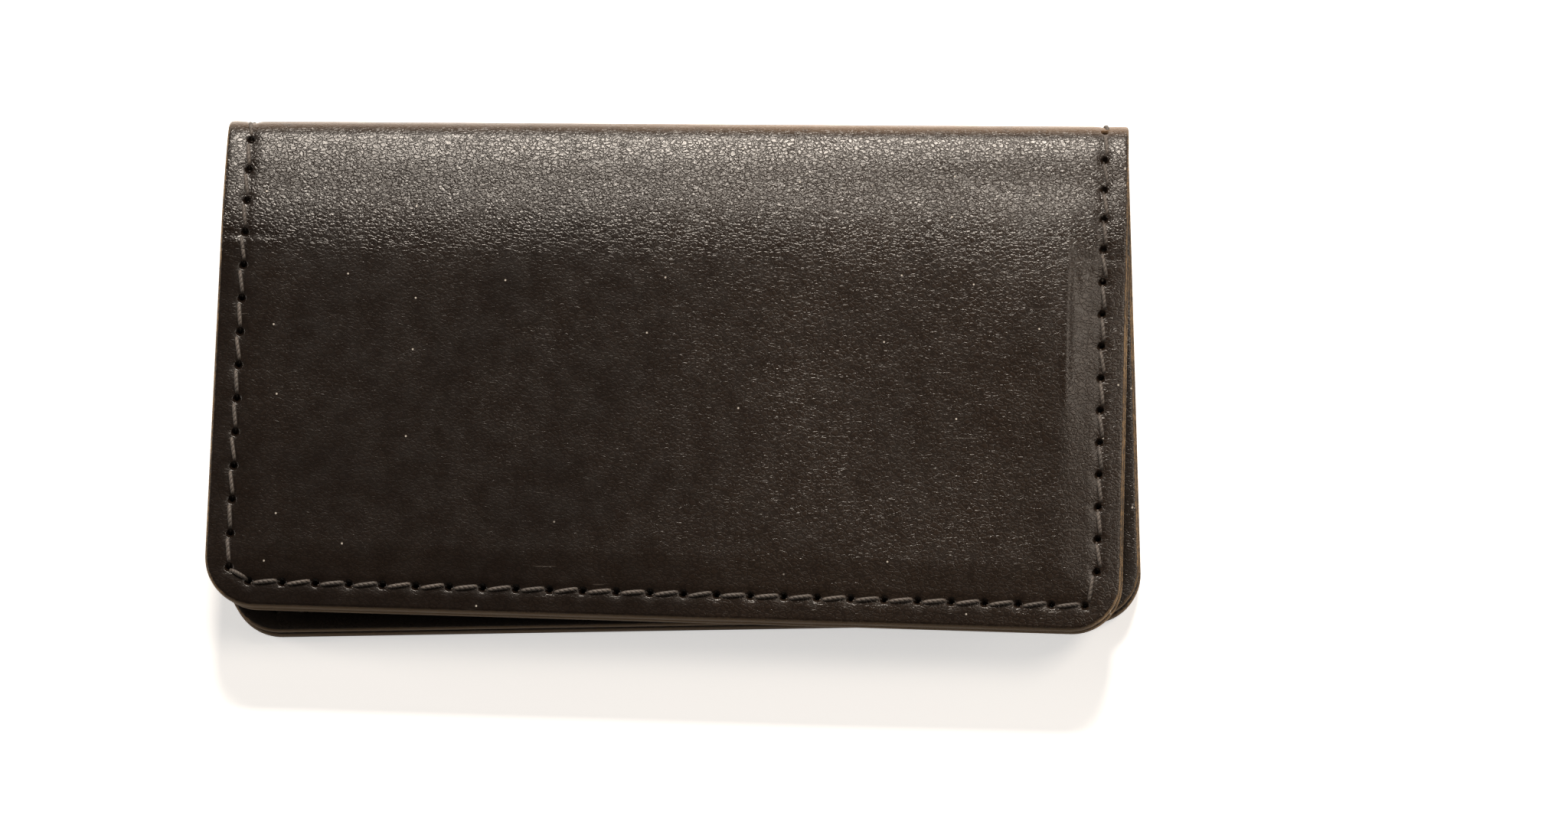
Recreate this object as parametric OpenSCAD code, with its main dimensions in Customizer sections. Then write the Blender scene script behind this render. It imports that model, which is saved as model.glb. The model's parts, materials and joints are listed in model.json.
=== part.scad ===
// Bifold card case: one leather sheet folded over, a leather pocket sewn inside each half,
// and one line of stitching all round the sheet.
// X runs along the fold, the free edges face -Y, and the case lies closed on its back at Z = 0.

/* [Cover] */
// Width of the leather sheet, along the fold
case_w = 108; // [95:1:130]
// Flat length of the back panel, from its free edge to the start of the fold
panel_l = 58; // [53:0.5:70]
// Thickness of the cover leather
cover_t = 1.8; // [1.4:0.1:2.2]
// Radius of the four outer corners
corner_r = 6; // [4:0.5:9]
// Angle between the fold line and the short way across the sheet, in degrees
fold_skew = 1.35; // [0:0.05:2]
// How far the front free edge stops short of the back one, at mid width
front_setback = 0; // [-1:0.1:2]

/* [Fold] */
// Outer radius of the fold
fold_r = 3.5; // [2.9:0.1:4.2]
// Length of the sloping shoulder between the fold and the flat front panel
shoulder_l = 10; // [8:0.5:12]
// Number of strips that the bend is divided into, so that it can open
fold_strips = 5; // [4:1:6]

/* [Pockets] */
// Height of each pocket, from the free edge
pocket_h = 45; // [37:0.5:46]
// Thickness of the pocket leather
pocket_t = 1.4; // [1:0.1:1.8]
// Room for cards between the cover and each pocket
card_gap = 1.15; // [0.6:0.05:1.4]
// Gap between the two pockets when the case is closed
pocket_gap = 0.6; // [0.3:0.1:1]
// Width of the sewn margin of a pocket
margin_w = 4.6; // [4.2:0.1:6]

/* [Stitching] */
// Aim for the distance between stitch holes
stitch_pitch = 3.9; // [3:0.1:5]
// Distance from the leather edge to the stitch line
stitch_inset = 2.9; // [2:0.1:3.6]
// How far the stitch line cuts across a left corner, along the free edge
left_cut_x = 2.4; // [1.2:0.1:3.5]
// How far the stitch line cuts across a left corner, along the side
left_cut_u = 1.6; // [1.2:0.1:4.5]
// How far the stitch line cuts across a right corner, along the free edge
right_cut_x = 1.3; // [1.2:0.1:3.5]
// How far the stitch line cuts across a right corner, along the side
right_cut_u = 4.1; // [1.2:0.1:4.5]
// Diameter of a stitch hole
hole_d = 0.95; // [0.7:0.05:1.1]
// Diameter of the thread
thread_d = 0.55; // [0.4:0.05:0.6]

/* [Hidden] */
$fn = 48;
hole_fn = 20;
fold_fn = 96;
over = 1;              // how far a cutting shape runs past the surface it cuts
thread_sink = 0.02;    // depth of the thread's crown below the leather's surface
leg_share = 0.85;      // the thread is drawn tighter down a hole than along a face
leg_d = leg_share * thread_d;
leg_clear = 0.03;      // gap between a stitch's end and the thread that goes down the hole
level_rise = 0.001;    // a stitch that rises less than this runs along the fold

// Closed stack, measured in the pockets' area
stack = 2 * (cover_t + card_gap + pocket_t) + pocket_gap;
// Slope of the shoulder: it climbs from the top of the fold to the top of the stack
slope = asin((stack - fold_r) / norm([shoulder_l, fold_r])) - atan(fold_r / shoulder_l);
bend = 180 - slope;                          // angle that the fold itself turns through
bend_l = fold_r * bend * PI / 180;           // its length on the outer surface
strip_bend = bend / fold_strips;

// Side view, with the fold starting at y = 0: outer surface points [y, z]
bend_end = [fold_r * sin(slope), fold_r * (1 + cos(slope))];
shoulder_end = bend_end + shoulder_l * [-cos(slope), sin(slope)];
front_l = panel_l - front_setback + shoulder_end.x;
sheet_l = panel_l + bend_l + shoulder_l + front_l;
half_l = sheet_l / 2;

// Where the parts of the sheet meet, measured along it from its middle line
back_u = panel_l - half_l;
bend_u = back_u + bend_l;
front_u = bend_u + shoulder_l;

// The origin is under the middle of the closed case
corner_y = (-case_w / 2 + corner_r) * sin(fold_skew) - (half_l - corner_r) * cos(fold_skew) - corner_r;
low_y = corner_y - back_u;
mid_y = (low_y + fold_r) / 2;

// Stitch holes, as [x, u] on the flat sheet before it is skewed, once round from the left of the fold
side_x = case_w / 2 - stitch_inset;
end_u = half_l - stitch_inset;
side_n = 2 * round((end_u - (left_cut_u + right_cut_u) / 2) / stitch_pitch + 0.5) - 1;
end_n = round((2 * side_x - left_cut_x - right_cut_x) / stitch_pitch);
free_edge = row([-side_x + left_cut_x, end_u], [side_x - right_cut_x, end_u], end_n);
holes = concat(
    row([-side_x, left_cut_u - end_u], [-side_x, end_u - left_cut_u], side_n),
    free_edge,
    row([side_x, end_u - right_cut_u], [side_x, right_cut_u - end_u], side_n),
    [for (k = [end_n:-1:0]) [free_edge[k].x, -end_u]]
);

// ---- the sheet and how it is folded ----

// Holes from a to b, with n stitches between them
function row(a, b, n) = [for (k = [0:n]) a + k / n * (b - a)];

// A point of the flat sheet, turned by the skew of the fold: [x along the fold, u across it]
function skewed(p) = [
    p.x * cos(fold_skew) - p.y * sin(fold_skew),
    p.x * sin(fold_skew) + p.y * cos(fold_skew)
];

// x of the sheet's side edge, side = -1 or 1, at distance u across the fold
function edge_x(side, u) = side * case_w / 2 / cos(fold_skew) - u * tan(fold_skew);

// x of the stitch line on one side, at distance u across the fold
function thread_x(side, u) = side * side_x / cos(fold_skew) - u * tan(fold_skew);

// A point of the folded sheet, at a depth below its outer surface
function folded(x, u, depth) =
    u <= back_u ? [x, u - back_u, depth] :
    u <= bend_u ? let (a = (u - back_u) / bend_l * bend, r = fold_r - depth)
        [x, r * sin(a), fold_r - r * cos(a)] :
    u <= front_u ? let (d = u - bend_u)
        [x, bend_end.x - d * cos(slope) - depth * sin(slope),
            bend_end.y + d * sin(slope) - depth * cos(slope)] :
    [x, shoulder_end.x - (u - front_u), stack - depth];

// True where a pocket lies inside the cover, at u on the sheet before it is skewed
function under_pocket(u) = abs(u) > half_l - pocket_h;

// Depth of the surface that the inner stitches lie on
function inner_depth(u) = under_pocket(u) ? cover_t + pocket_t : cover_t;

// ---- shared shapes ----

module in_place() {
    translate([0, -mid_y, 0]) children();
}

module rounded_2d(w, l, r) {
    square([w - 2 * r, l], center = true);
    square([w, l - 2 * r], center = true);
    for (x = [-1, 1], y = [-1, 1]) translate([x * (w / 2 - r), y * (l / 2 - r)]) circle(r);
}

module sheet_2d(inset) {
    rotate(fold_skew) rounded_2d(case_w - 2 * inset, sheet_l - 2 * inset, corner_r - min(inset, corner_r - 1));
}

// The part of the sheet within a pocket's area, on the back (side = -1) or the front (side = 1)
module pocket_2d(side, inset) {
    intersection() {
        sheet_2d(inset);
        rotate(fold_skew) translate([-case_w, side > 0 ? half_l - pocket_h : -half_l - over])
            square([2 * case_w, pocket_h + over]);
    }
}

// Lays a 2D shape of the flat sheet on a closed half, between two depths below the outer surface
module on_half(side, depth, t) {
    z = side < 0 ? depth : stack - depth - t;
    y = side < 0 ? -back_u : shoulder_end.x + front_u;
    translate([0, y, z]) linear_extrude(t) mirror([0, side < 0 ? 0 : 1]) children();
}

// A round bar from point p to point q
module bar(p, q, d) {
    v = q - p;
    translate(p) rotate([0, acos(v.z / norm(v)), atan2(v.y, v.x)]) cylinder(d = d, h = norm(v), $fn = hole_fn);
}

// The shares of the stitch from a to b, both [x, u] after the skew, at which it enters and leaves u0 to u1
function clipped(a, b, u0, u1) =
    let (rise = b.y - a.y, level = abs(rise) < level_rise,
         s0 = level ? 0 : (u0 - a.y) / rise,
         s1 = level ? 1 : (u1 - a.y) / rise,
         inside = !level || (a.y > u0 && a.y < u1),
         margin = (leg_d / 2 + leg_clear) / norm(b - a))
    inside ? [max(margin, min(s0, s1) + margin), min(1 - margin, max(s0, s1) - margin)] : [1, 0];

// Every stitch between u0 and u1 as [start, end], on the outer (inner = false) or inner face
function stitches(u0, u1, inner) = [
    for (k = [0:len(holes) - 1])
        let (h0 = holes[k], h1 = holes[(k + 1) % len(holes)],
             a = skewed(h0), b = skewed(h1),
             span = clipped(a, b, u0, u1),
             sink = thread_d / 2 + thread_sink,
             d0 = inner ? inner_depth(h0.y) - sink : sink,
             d1 = inner ? inner_depth(h1.y) - sink : sink)
        if (span[1] > span[0])
            [for (f = span) let (p = a + f * (b - a)) folded(p.x, p.y, d0 + f * (d1 - d0))]
];

module drill(u0, u1) {
    for (h = holes) {
        p = skewed(h);
        if (p.y > u0 - hole_d && p.y < u1 + hole_d)
            bar(folded(p.x, p.y, -over), folded(p.x, p.y, inner_depth(h.y) + over), hole_d);
    }
}

// ---- the cover ----

module flat_cover(side) {
    u0 = side < 0 ? -half_l - over : front_u;
    u1 = side < 0 ? back_u : half_l + over;
    difference() {
        on_half(side, 0, cover_t) intersection() {
            sheet_2d(0);
            translate([-case_w, u0]) square([2 * case_w, u1 - u0]);
        }
        drill(u0, u1);
        if (side > 0) mitre();
    }
}

// Cuts the front cover's end back to the plane that halves its bend against the shoulder
module mitre() {
    translate([0, shoulder_end.x, shoulder_end.y]) rotate([-slope / 2, 0, 0])
        translate([-case_w, 0, -2 * cover_t]) cube([2 * case_w, cover_t, 2 * cover_t + over]);
}

module fold_strip(k) {
    u0 = back_u + (k - 1) * bend_l / fold_strips;
    u1 = u0 + bend_l / fold_strips;
    mid_u = (u0 + u1) / 2;
    x0 = edge_x(-1, mid_u);
    difference() {
        sector(x0, edge_x(1, mid_u) - x0, k, fold_r, fold_r - cover_t);
        drill(u0, u1);
    }
}

// One strip's share of the fold as a block of x length l, between two radii
module sector(x, l, k, outer, inner) {
    translate([x, 0, fold_r]) rotate([90, 0, 90]) linear_extrude(l)
        intersection() {
            difference() {
                circle(outer, $fn = fold_fn);
                circle(inner, $fn = fold_fn);
            }
            wedge((k - 1) * strip_bend - 90, k * strip_bend - 90, 2 * outer);
        }
}

module wedge(a0, a1, r) {
    polygon([[0, 0], r * [cos(a0), sin(a0)], r * [cos(a1), sin(a1)]]);
}

// The shoulder's outline seen from the side: square to the fold, mitred against the front panel
shoulder_side = [
    bend_end,
    shoulder_end,
    shoulder_end - cover_t / cos(slope / 2) * [sin(slope / 2), cos(slope / 2)],
    bend_end - cover_t * [sin(slope), cos(slope)]
];

module shoulder() {
    plan = [for (c = [[-1, bend_u], [1, bend_u], [1, front_u], [-1, front_u]])
        let (p = folded(edge_x(c[0], c[1]), c[1], 0), out = c[1] == bend_u ? 1 : -1)
        [p.x + out * over * tan(fold_skew), p.y + out * over]];
    difference() {
        intersection() {
            translate([-case_w, 0, 0]) rotate([90, 0, 90]) linear_extrude(2 * case_w) polygon(shoulder_side);
            linear_extrude(2 * stack) polygon(plan);
        }
        drill(bend_u, front_u);
    }
}

// ---- the pockets ----

// The raised middle of a pocket, over the cards
module pocket_panel(side) {
    on_half(side, cover_t + card_gap, pocket_t) pocket_2d(side, margin_w + pocket_t);
}

// The sewn margin of a pocket: flat on the cover, with a riser up to the panel
module pocket_margin(side) {
    difference() {
        union() {
            on_half(side, cover_t, pocket_t) difference() {
                pocket_2d(side, 0);
                pocket_2d(side, margin_w + pocket_t);
            }
            on_half(side, cover_t, card_gap + pocket_t) difference() {
                pocket_2d(side, margin_w);
                pocket_2d(side, margin_w + pocket_t);
            }
        }
        drill(side < 0 ? -half_l : front_u, side < 0 ? back_u : half_l);
    }
}

// ---- the thread ----

// Thread on a flat part: the stitches on both faces, and the thread down each hole between them
module flat_thread(u0, u1) {
    for (inner = [false, true], s = stitches(u0, u1, inner)) bar(s[0], s[1], thread_d);
    for (h = holes) {
        p = skewed(h);
        if (p.y > u0 + hole_d / 2 && p.y < u1 - hole_d / 2)
            bar(folded(p.x, p.y, thread_sink), folded(p.x, p.y, inner_depth(h.y) - thread_sink), leg_d);
    }
}

// Thread over one strip of the fold, at both sides, on the outer and the inner face
module fold_thread(k) {
    mid_u = back_u + (k - 0.5) * bend_l / fold_strips;
    sink = thread_d / 2 + thread_sink;
    for (side = [-1, 1], r = [fold_r - sink, fold_r - cover_t + sink])
        translate([thread_x(side, mid_u), 0, fold_r]) rotate([90, 0, 90]) rotate((k - 1) * strip_bend - 90)
            rotate_extrude(angle = strip_bend) translate([r, 0]) circle(d = thread_d, $fn = hole_fn);
}

leather = [0.16, 0.13, 0.115];
lining = [0.2, 0.165, 0.145];
linen = [0.42, 0.38, 0.35];

color(leather) in_place() flat_cover(-1);  // cover_back
color(leather) in_place() flat_cover(1);  // cover_front
color(leather) in_place() shoulder();  // cover_shoulder
color(lining) in_place() pocket_panel(-1);  // pocket_back_panel
color(lining) in_place() pocket_margin(-1);  // pocket_back_margin
color(lining) in_place() pocket_panel(1);  // pocket_front_panel
color(lining) in_place() pocket_margin(1);  // pocket_front_margin
color(linen) in_place() flat_thread(-half_l, back_u);  // thread_back
color(linen) in_place() flat_thread(bend_u, front_u);  // thread_shoulder
color(linen) in_place() flat_thread(front_u, half_l);  // thread_front
for (k = [1:fold_strips]) {
    color(leather) in_place() fold_strip(k);
    color(linen) in_place() fold_thread(k);
}
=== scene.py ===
"""A folded leather card case: one cover sheet bent round, a pocket sewn inside each half,
and one line of hand stitching all round. Lengths in the working code are in millimetres."""

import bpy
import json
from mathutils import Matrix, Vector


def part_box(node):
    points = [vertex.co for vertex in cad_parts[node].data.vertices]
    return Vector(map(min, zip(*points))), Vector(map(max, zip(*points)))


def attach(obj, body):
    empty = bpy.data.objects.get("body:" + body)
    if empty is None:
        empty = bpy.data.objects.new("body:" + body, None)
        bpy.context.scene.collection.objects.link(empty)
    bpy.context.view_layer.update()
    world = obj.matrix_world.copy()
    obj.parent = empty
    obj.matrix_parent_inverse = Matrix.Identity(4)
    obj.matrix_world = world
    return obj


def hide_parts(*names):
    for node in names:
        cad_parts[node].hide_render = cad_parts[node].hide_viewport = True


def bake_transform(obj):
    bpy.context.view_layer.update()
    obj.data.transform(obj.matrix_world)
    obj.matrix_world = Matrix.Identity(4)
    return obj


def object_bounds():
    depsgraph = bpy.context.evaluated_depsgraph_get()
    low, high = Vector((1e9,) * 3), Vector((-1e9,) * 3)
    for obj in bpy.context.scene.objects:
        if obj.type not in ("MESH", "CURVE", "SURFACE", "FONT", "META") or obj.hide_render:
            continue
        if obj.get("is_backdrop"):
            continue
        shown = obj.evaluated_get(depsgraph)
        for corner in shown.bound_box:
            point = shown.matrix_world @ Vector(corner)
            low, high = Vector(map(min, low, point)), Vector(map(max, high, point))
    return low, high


bl_info = {
    "name": "Folded Leather Card Case",
    "version": (1, 0, 0),
    "blender": (4, 5, 0),
    "location": "View3D > Sidebar > Card Case",
    "description": "Builds a hand-stitched leather card case around its working frame",
    "category": "Add Mesh",
}

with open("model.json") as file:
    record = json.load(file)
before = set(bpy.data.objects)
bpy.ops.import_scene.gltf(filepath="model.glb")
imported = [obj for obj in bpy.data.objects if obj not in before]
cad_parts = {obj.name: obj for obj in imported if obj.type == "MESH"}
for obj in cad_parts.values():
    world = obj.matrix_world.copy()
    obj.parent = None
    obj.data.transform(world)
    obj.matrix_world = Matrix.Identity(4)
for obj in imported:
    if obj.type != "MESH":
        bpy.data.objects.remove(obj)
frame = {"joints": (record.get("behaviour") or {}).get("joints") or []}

import json
import math
from types import SimpleNamespace

import bmesh
import bpy
import numpy as np
from bpy.props import FloatProperty, FloatVectorProperty, IntProperty, PointerProperty
from mathutils import Matrix, Vector
from mathutils.geometry import delaunay_2d_cdt

cad_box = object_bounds()

MM = 0.001

# What the frame fixes, in millimetres
PIVOT = {j["name"]: Vector(j["pos_m"]) / MM for j in frame["joints"]}
STRIPS = sum(name.startswith("fold_bend_") for name in PIVOT)
LAST_STRIP = PIVOT[f"fold_bend_{STRIPS}"]
SHOULDER = PIVOT["shoulder_bend"]
BACK_LOW, BACK_HIGH = (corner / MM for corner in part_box("cover_back"))
COVER_T = BACK_HIGH.z
FOLD_Y = PIVOT["cover_opening"].y
FOLD_R = max(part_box(f"cover_fold_{k + 1}")[1].y for k in range(STRIPS)) / MM - FOLD_Y
PANEL_LOW, PANEL_HIGH = (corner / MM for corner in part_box("pocket_back_panel"))
POCKET_T = PANEL_HIGH.z - PANEL_LOW.z
CARD_GAP = PANEL_LOW.z - COVER_T
MOUTH_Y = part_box("pocket_back_margin")[1].y / MM


# ---- what a user would change ----


def length(name, text, value):
    """A length setting, given in millimetres and kept in metres"""
    return FloatProperty(name=name, description=text, default=value * MM, min=0,
                         unit="LENGTH", precision=5)


def colour(name, text, value):
    """A colour setting"""
    return FloatVectorProperty(name=name, description=text, default=value, size=3, min=0, max=1,
                               subtype="COLOR")


def angle(name, text, value):
    """An angle setting, given in degrees and kept in radians"""
    return FloatProperty(name=name, description=text, default=math.radians(value), unit="ROTATION")


class CARDCASE_PG_leather(bpy.types.PropertyGroup):
    """Sizes of the leather"""

    skew: angle("Fold skew", "Angle between the fold and the short way across the sheet", 1.35)
    corner_radius: length("Corner radius", "Radius of the cover's four corners", 6)
    mouth_radius: length("Mouth corner", "Radius of a pocket's corners at its mouth", 1)
    rim: length("Rounded rim", "How far the burnished edge is rounded in from the outline", 0.5)
    fold_ease: length("Shoulder ease", "Half the length over which the shoulder levels out", 4.45)
    facet: angle("Fold facets", "How much the bend gathers at the fold's creases", 3)
    fine: length("Fine mesh", "Point spacing near edges and stitches", 0.42)
    coarse: length("Coarse mesh", "Point spacing in the middle of a panel", 0.8)
    band: length("Fine band", "Width of the finely meshed band along the edges", 10)
    margin_dip: length("Margin dip", "How far the sewn margin slopes down towards its edge", 0.3)
    crown: length("Panel crown", "How far the front panel stands up inside its stitch line", 0.3)
    swell: length("Shoulder swell", "Height of the shoulder's swelling beside the fold", 0.17)
    lift: length("Card lift", "How far the cards lift the front panel near its right side", 0.6)
    groove: length("Stitch groove", "Depth of the groove that the stitches lie in", 0.13)
    dimple: length("Hole dimple", "How deep the thread pulls the leather down round a hole", 0.14)
    imprint: length("Mouth imprint", "Depth of the line that a mouth presses into the cover", 0.06)
    wave: length("Waviness", "Slow unevenness of the panels", 0.07)


class CARDCASE_PG_stitching(bpy.types.PropertyGroup):
    """Sizes of the stitching"""

    pitch: length("Pitch", "Aim for the distance between holes", 3.9)
    inset: length("Inset", "Distance from the edge to the stitch line", 2.9)
    left_cut_x: length("Left corner, end", "Cut across a left corner, along the free edge", 2.4)
    left_cut_u: length("Left corner, side", "Cut across a left corner, along the side", 1.6)
    right_cut_x: length("Right corner, end", "Cut across a right corner, along the free edge", 1.3)
    right_cut_u: length("Right corner, side", "Cut across a right corner, along the side", 4.1)
    hole_d: length("Hole", "Diameter of a hole", 0.92)
    thread_d: length("Thread", "Width of the thread", 0.5)
    side_bow: length("Side bow", "How far the side stitches lie outwards of their holes", 0.16)
    rise: FloatProperty(name="Rise", default=0.16,
                        description="Height of a stitch's middle over the leather, in thread widths")
    dive: FloatProperty(name="Dive", default=1.9,
                        description="How far a stitch's ends go down its holes, in thread widths")
    slant: angle("Slant", "Angle of a stitch to the line of holes", -8)
    uneven: FloatProperty(name="Unevenness", description="How much hand stitches differ", default=0.05)
    seed: IntProperty(name="Seed", description="Picks the stitches' differences", default=7)


class CARDCASE_PG_finish(bpy.types.PropertyGroup):
    """Colours of the leather and the thread"""

    dark: colour("Dark leather", "The cover where it is darkest", (0.0062, 0.0038, 0.0027))
    # Light leather: the colour the cover leans to in patches and towards its right
    light: colour("Light leather", "The cover where handling has lightened it", (0.021, 0.0138, 0.0095))
    # Worn fold: this colour also paints the reflection along the fold
    worn: colour("Worn fold", "The cover along the fold, where dye has worn off", (0.21, 0.112, 0.042))
    edge: colour("Burnished edge", "Cut edges, dyed and rubbed", (0.046, 0.025, 0.007))
    raw: colour("Pale edge", "Cut edges where the dye is thin", (0.20, 0.125, 0.058))
    lining: colour("Pocket leather", "The pockets' leather", (0.017, 0.0135, 0.0115))
    thread: colour("Thread", "Waxed thread", (0.060, 0.048, 0.040))
    floor: colour("Floor", "The stage", (0.93, 0.93, 0.93))


class CARDCASE_PG_settings(bpy.types.PropertyGroup):
    """All the settings of the card case"""

    leather: PointerProperty(name="Leather", description="Sizes of the leather", type=CARDCASE_PG_leather)
    stitching: PointerProperty(name="Stitching", description="Sizes of the stitching",
                               type=CARDCASE_PG_stitching)
    finish: PointerProperty(name="Finish", description="Colours", type=CARDCASE_PG_finish)


def fields(chosen):
    """The properties of a group that a user sets"""
    return [prop for prop in chosen.bl_rna.properties if prop.identifier not in ("rna_type", "name")]


def settings(group):
    """One group's settings as plain values, with its lengths in millimetres"""
    chosen = getattr(bpy.context.scene.card_case, group)
    found = SimpleNamespace()
    for prop in fields(chosen):
        value = getattr(chosen, prop.identifier)
        in_metres = getattr(prop, "unit", "NONE") == "LENGTH"
        setattr(found, prop.identifier, value / MM if in_metres else value)
    return found


# ---- the flat sheet and how it is folded ----


def ease(a, b, x):
    """0 up to a, 1 from b, and a smooth step between them"""
    t = np.clip((x - a) / (b - a), 0, 1)
    return t * t * (3 - 2 * t)


class Sheet:
    """The flat cover, X along the fold and U across it, and the way it is folded. Depth counts
    inwards from its outer face, and u is the distance across the fold after the skew."""

    STEP = 0.02       # of the side view's points
    REACH = 80        # beyond every edge
    LEAD = 1.2        # flat leather that bends with the fold's first and last strip
    HALF_BEND = 0.46  # half the length of the bend between two strips
    RUN_OUT = 4.8     # how far the shoulder's part goes on into the front panel

    def __init__(self, leather):
        self.leather = leather
        self.cos, self.sin = math.cos(leather.skew), math.sin(leather.skew)
        run, climb = LAST_STRIP.y - SHOULDER.y, SHOULDER.z - LAST_STRIP.z
        self.bend = math.pi - math.atan2(climb, run)
        bend_l = FOLD_R * self.bend
        self.strip_l = bend_l / STRIPS
        self.back_u = -(bend_l + math.hypot(run, climb) + SHOULDER.y - FOLD_Y) / 2
        self.bend_u = self.back_u + bend_l
        self.front_u = self.bend_u + math.hypot(run, climb)
        # The back panel's box gives two equations for the middles of its corner arcs
        r = leather.corner_radius
        across, along = BACK_HIGH.x - r, FOLD_Y - self.back_u - BACK_LOW.y - r
        turn = self.cos**2 - self.sin**2
        self.half_w = (across * self.cos - along * self.sin) / turn + r
        self.half_l = (along * self.cos - across * self.sin) / turn + r
        self.pocket_h = self.half_l - (self.half_w * self.sin + FOLD_Y - self.back_u - MOUTH_Y) / self.cos
        self._trace()

    def _trace(self):
        """The outer face's side view, as y, z and the angle turned through, against u"""
        u = np.arange(-self.REACH, self.REACH, self.STEP)
        turned = np.interp(u, [self.back_u, self.bend_u], [0, self.bend])
        in_fold = (u > self.back_u) & (u < self.bend_u)
        turned += in_fold * self.leather.facet * np.sin(2 * math.pi * (u - self.back_u) / self.strip_l)
        half = self.leather.fold_ease
        turned += (math.pi - self.bend) * ease(self.front_u - half, self.front_u + half, u)
        self.u, self.turned = u, turned
        self.y, self.z = (np.concatenate([[0], np.cumsum((f[1:] + f[:-1]) / 2)]) * self.STEP
                          for f in (np.cos(turned), np.sin(turned)))
        self.y += FOLD_Y - np.interp(self.back_u, u, self.y)
        self.z -= np.interp(self.back_u, u, self.z)

    def across(self, x, u):
        """Distance across the fold of the flat point x, u"""
        return x * self.sin + u * self.cos

    def flat_u(self, x, across):
        """The flat point's U that has this distance across the fold"""
        return (across - x * self.sin) / self.cos

    def folded(self, x, u, depth):
        """Points of the folded sheet in metres, n x 3"""
        v = self.across(x, u)
        turned = np.interp(v, self.u, self.turned)
        y = np.interp(v, self.u, self.y) - depth * np.sin(turned)
        z = np.interp(v, self.u, self.z) + depth * np.cos(turned)
        return np.stack([x * self.cos - u * self.sin, y, z], 1) * MM

    def inset(self, x, u):
        """How far inside the outline a flat point lies"""
        r = self.leather.corner_radius
        qx, qu = np.abs(x) - self.half_w + r, np.abs(u) - self.half_l + r
        return r - np.hypot(np.maximum(qx, 0), np.maximum(qu, 0)) - np.minimum(np.maximum(qx, qu), 0)

    def on_panel(self, x, u):
        """1 on the two flat panels, easing to 0 towards the fold"""
        v = self.across(x, u)
        return ease(self.front_u - 3, self.front_u + 9, v) + 1 - ease(self.back_u - 9, self.back_u - 1, v)

    def zones(self):
        """The sheet's parts as (name, from, to, bodies, blend start, blend end, nodes replaced)"""
        strip, reach = self.strip_l, self.HALF_BEND
        fold = [f"fold_{k + 1}" for k in range(STRIPS)]
        found = [("back", -self.REACH, self.back_u - self.LEAD, ["back_half"], None, None, ["back"])]
        start, mid = self.back_u - self.LEAD, self.back_u + strip / 2
        found.append(("fold_0", start, mid, ["back_half", fold[0]],
                      (0, FOLD_Y - self.LEAD, 0), (0, FOLD_Y + 0.45, 0), []))
        for k in range(1, STRIPS + 1):
            pivot = PIVOT[f"fold_bend_{k}"]
            turned = self.bend * k / STRIPS
            along = Vector((0, math.cos(turned), math.sin(turned)))
            last = k == STRIPS
            end = self.bend_u + self.LEAD if last else self.back_u + (k + 0.5) * strip
            found.append((f"fold_{k}", self.back_u + (k - 0.5) * strip, end,
                          [fold[k - 1], "shoulder" if last else fold[k]],
                          pivot - reach * along, pivot + (self.LEAD if last else reach) * along,
                          [f"fold_{k}"]))
        half = self.leather.fold_ease
        front = self.front_u + self.RUN_OUT
        found.append(("shoulder", self.bend_u + self.LEAD, front, ["shoulder", "front_half"],
                      (0, SHOULDER.y + half - 0.05, 0), (0, SHOULDER.y - half, 0), ["shoulder"]))
        found.append(("front", front, self.REACH, ["front_half"], None, None, ["front"]))
        return found


def row(a, b, n):
    """Holes from a to b with n stitches between them"""
    share = np.linspace(0, 1, n + 1)[:, None]
    return np.array(a) + share * (np.array(b) - np.array(a))


def stitch_holes(sheet, s):
    """Hole middles once round the flat sheet, kept clear of the lines that part the pieces"""
    side_x, end_u = sheet.half_w - s.inset, sheet.half_l - s.inset
    side_n = 2 * round((end_u - (s.left_cut_u + s.right_cut_u) / 2) / s.pitch + 0.5) - 1
    end_n = round((2 * side_x - s.left_cut_x - s.right_cut_x) / s.pitch)
    left, right = end_u - s.left_cut_u, end_u - s.right_cut_u
    x0, x1 = s.left_cut_x - side_x, side_x - s.right_cut_x
    holes = np.vstack([
        row((-side_x, -left), (-side_x, left), side_n),
        row((x0, end_u), (x1, end_u), end_n),
        row((side_x, right), (side_x, -right), side_n),
        row((x1, -end_u), (x0, -end_u), end_n),
    ])
    clear = s.hole_d / 2 + 0.22
    for line in [z[2] for z in sheet.zones()[:-1]]:
        off = sheet.across(*holes.T) - line
        holes[:, 1] += np.where(np.abs(off) < clear, np.where(off < 0, -clear, clear) - off, 0)
    return holes


# ---- the leather's relief, as depths below the flat face ----


def waviness(sheet, x, u):
    """Slow unevenness of the panels, from a few long waves"""
    waves = np.sin(x / 13 + u / 21 + 1.0) + 0.7 * np.sin(x / 7.3 - u / 9.1 + 2.2)
    waves += 0.5 * np.sin(u / 5.7 + x / 19)
    return sheet.leather.wave * waves / 2.2 * sheet.on_panel(x, u)


def margin_dip(sheet, x, u):
    """How far all the sewn layers slope down together towards the edge"""
    return sheet.leather.margin_dip * (1 - ease(0, 3.6, sheet.inset(x, u))) * sheet.on_panel(x, u)


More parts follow.
